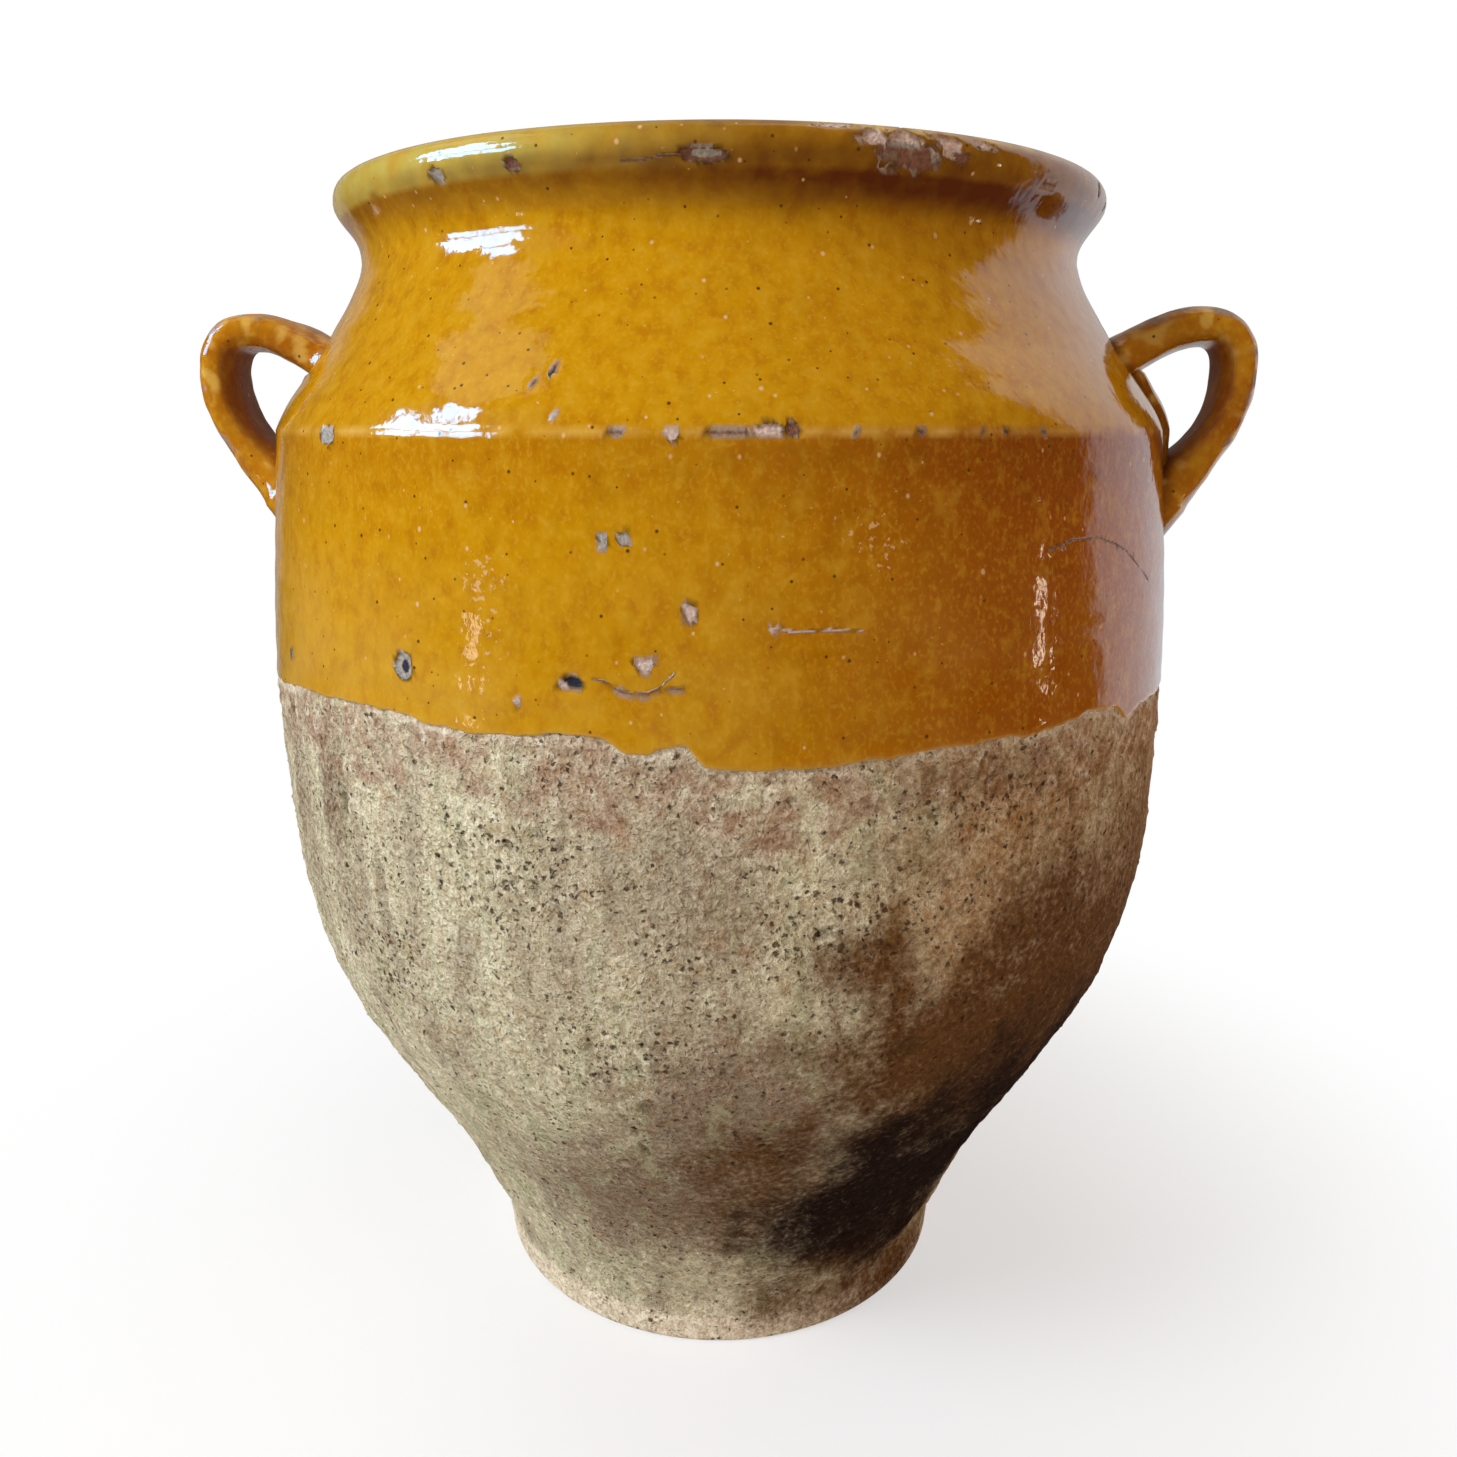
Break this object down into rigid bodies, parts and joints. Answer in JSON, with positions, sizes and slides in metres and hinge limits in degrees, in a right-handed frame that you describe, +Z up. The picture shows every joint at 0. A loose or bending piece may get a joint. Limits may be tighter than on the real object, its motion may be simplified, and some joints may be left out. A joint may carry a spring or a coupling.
{
  "type": "grease pot",
  "caption": "Tall bellied earthenware pot with a sharp shoulder ridge, rolled rim and a pair of luted strap handles, glazed inside and over the upper half outside.",
  "frame": {"origin": "centre of the flat base, on the surface the pot stands on", "axes": "+Z up along the axis the pot was thrown on, front towards -Y, handles towards -X and +X"},
  "size_m": [0.2947, 0.2584, 0.3195],
  "materials": {
    "bare_earthenware": "matt, pitted low-fired earthenware, grey-buff with brown soil stains",
    "ochre_glaze": "glossy transparent ochre lead-type glaze, brown where it runs thick, chipped at the rim and ridge",
    "lining_glaze": "satin honey-coloured glaze lining",
    "glazed_strap_clay": "pulled clay strap under glossy ochre glaze, worn on its edges",
    "glazed_luting_clay": "smeared luting clay under glossy ochre glaze"
  },
  "bodies": {
    "root": {"clay_vessel": "bare_earthenware", "glaze_outside": "ochre_glaze", "glaze_inside": "lining_glaze", "handle_left": "glazed_strap_clay", "handle_right": "glazed_strap_clay", "luting_wad_left": "glazed_luting_clay", "luting_wad_right": "glazed_luting_clay"}
  },
  "joints": []
}
